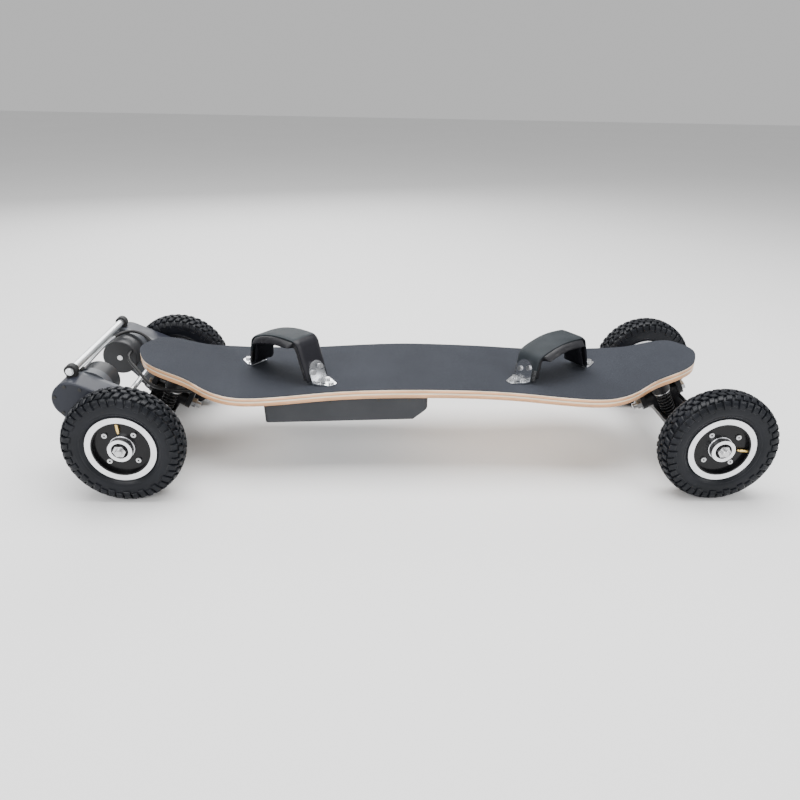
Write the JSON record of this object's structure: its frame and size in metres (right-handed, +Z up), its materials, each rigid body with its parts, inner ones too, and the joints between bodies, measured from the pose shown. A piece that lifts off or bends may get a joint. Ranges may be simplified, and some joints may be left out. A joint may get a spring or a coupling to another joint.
{
  "type": "electric skateboard",
  "caption": "Off-road electric skateboard: waisted ply deck with two arched foot bindings, sprung steering trucks, pneumatic tyres, battery box and rear belt drive.",
  "frame": {"origin": "on the ground, under the middle of the whole object's length and width", "axes": "+X to the front of the board, +Y to the rider's left when facing forward, +Z up"},
  "size_m": [1.2254, 0.442, 0.2406],
  "materials": {
    "maple_ply": "satin",
    "grip": "matte",
    "box_plastic": "satin",
    "bare_aluminium": "satin",
    "battery_sleeve": "satin",
    "socket_black": "satin",
    "soft_rubber": "matte",
    "button_metal": "satin",
    "tyre_rubber": "matte",
    "rim_black": "gloss",
    "zinc_steel": "satin",
    "axle_steel": "satin",
    "cast_black": "satin",
    "spring_black": "satin",
    "strap_slate": "matte",
    "pad_foam": "matte",
    "bright_steel": "polished",
    "bright_tube": "satin",
    "mount_black": "matte",
    "cover_black": "satin",
    "motor_black": "satin",
    "belt_rubber": "matte",
    "black_screw": "satin",
    "lead_rubber": "satin"
  },
  "bodies": {
    "root": {"deck_board": "maple_ply", "grip_tape": "grip", "battery_enclosure": "box_plastic", "enclosure_cleats": "bare_aluminium", "enclosure_screws": "zinc_steel", "battery_pack": "battery_sleeve", "motor_controller": "bare_aluminium", "charge_port": "socket_black", "power_switch": "socket_black", "front_baseplate": "cast_black", "rear_baseplate": "cast_black", "deck_bolts": "zinc_steel", "pivot_bolts": "zinc_steel", "spring_seats": "zinc_steel", "front_binding_strap": "strap_slate", "rear_binding_strap": "strap_slate", "front_binding_pad": "pad_foam", "rear_binding_pad": "pad_foam", "binding_brackets": "bright_steel"},
    "front_truck": {"front_hanger": "cast_black", "front_axle": "axle_steel", "front_spring_left": "spring_black", "front_spring_right": "spring_black"},
    "rear_truck": {"rear_hanger": "cast_black", "rear_axle": "axle_steel", "rear_spring_left": "spring_black", "rear_spring_right": "spring_black", "motor_mount_left": "mount_black", "motor_mount_right": "mount_black", "motor_housing_left": "motor_black", "motor_housing_right": "motor_black", "drive_belt_left": "belt_rubber", "drive_belt_right": "belt_rubber", "belt_cover_left": "cover_black", "belt_cover_right": "cover_black", "cover_screws": "black_screw", "tube_clamps": "soft_rubber", "guard_tube": "bright_tube", "brace_rod": "bright_tube", "motor_leads": "lead_rubber"},
    "rotor_left": {"motor_rotor_left": "axle_steel", "motor_pulley_left": "bare_aluminium"},
    "rotor_right": {"motor_rotor_right": "axle_steel", "motor_pulley_right": "bare_aluminium"},
    "charge_cap": {"charge_port_cap": "soft_rubber"},
    "power_button": {"power_button": "button_metal"},
    "wheel_front_left": {"front_left_tyre": "tyre_rubber", "front_left_rim": "rim_black", "front_left_hub_hardware": "zinc_steel"},
    "wheel_front_right": {"front_right_tyre": "tyre_rubber", "front_right_rim": "rim_black", "front_right_hub_hardware": "zinc_steel"},
    "wheel_rear_left": {"rear_left_tyre": "tyre_rubber", "rear_left_rim": "rim_black", "rear_left_hub_hardware": "zinc_steel", "wheel_pulley_left": "bare_aluminium"},
    "wheel_rear_right": {"rear_right_tyre": "tyre_rubber", "rear_right_rim": "rim_black", "rear_right_hub_hardware": "zinc_steel", "wheel_pulley_right": "bare_aluminium"}
  },
  "joints": [
    {"name": "front_steer", "type": "hinge", "parent": "root", "child": "front_truck", "pos_m": [0.50225, 0, 0.11933], "axis": [0.8788, 0, 0.4772], "range_deg": [-15, 15], "stiffness_Nm_per_rad": 260, "deforming": ["front_spring_left", "front_spring_right"]},
    {"name": "rear_steer", "type": "hinge", "parent": "root", "child": "rear_truck", "pos_m": [-0.48175, 0, 0.11933], "axis": [-0.8788, 0, 0.4772], "range_deg": [-15, 15], "stiffness_Nm_per_rad": 260, "deforming": ["rear_spring_left", "rear_spring_right", "motor_leads"]},
    {"name": "front_left_wheel_spin", "type": "hinge", "parent": "front_truck", "child": "wheel_front_left", "pos_m": [0.51275, 0.186, 0.1], "axis": [0, 1, 0], "continuous": true},
    {"name": "front_right_wheel_spin", "type": "hinge", "parent": "front_truck", "child": "wheel_front_right", "pos_m": [0.51275, -0.186, 0.1], "axis": [0, 1, 0], "continuous": true},
    {"name": "rear_left_wheel_spin", "type": "hinge", "parent": "rear_truck", "child": "wheel_rear_left", "pos_m": [-0.49225, 0.186, 0.1], "axis": [0, 1, 0], "continuous": true},
    {"name": "rear_right_wheel_spin", "type": "hinge", "parent": "rear_truck", "child": "wheel_rear_right", "pos_m": [-0.49225, -0.186, 0.1], "axis": [0, 1, 0], "continuous": true},
    {"name": "motor_left_spin", "type": "hinge", "parent": "rear_truck", "child": "rotor_left", "pos_m": [-0.56875, 0.048, 0.16], "axis": [0, 1, 0], "continuous": true},
    {"name": "motor_right_spin", "type": "hinge", "parent": "rear_truck", "child": "rotor_right", "pos_m": [-0.56875, -0.048, 0.16], "axis": [0, 1, 0], "continuous": true},
    {"name": "charge_cap_hinge", "type": "hinge", "parent": "root", "child": "charge_cap", "pos_m": [-0.04975, 0.109, 0.1386], "axis": [1, 0, 0], "range_deg": [0, 110]},
    {"name": "power_button_press", "type": "slide", "parent": "root", "child": "power_button", "axis": [0, -1, 0], "range_m": [0, 0.0015], "stiffness_N_per_m": 900}
  ],
  "couplings": [
    {"joint": "motor_left_spin", "follows": "rear_left_wheel_spin", "ratio": 3.75},
    {"joint": "motor_right_spin", "follows": "rear_right_wheel_spin", "ratio": 3.75}
  ]
}
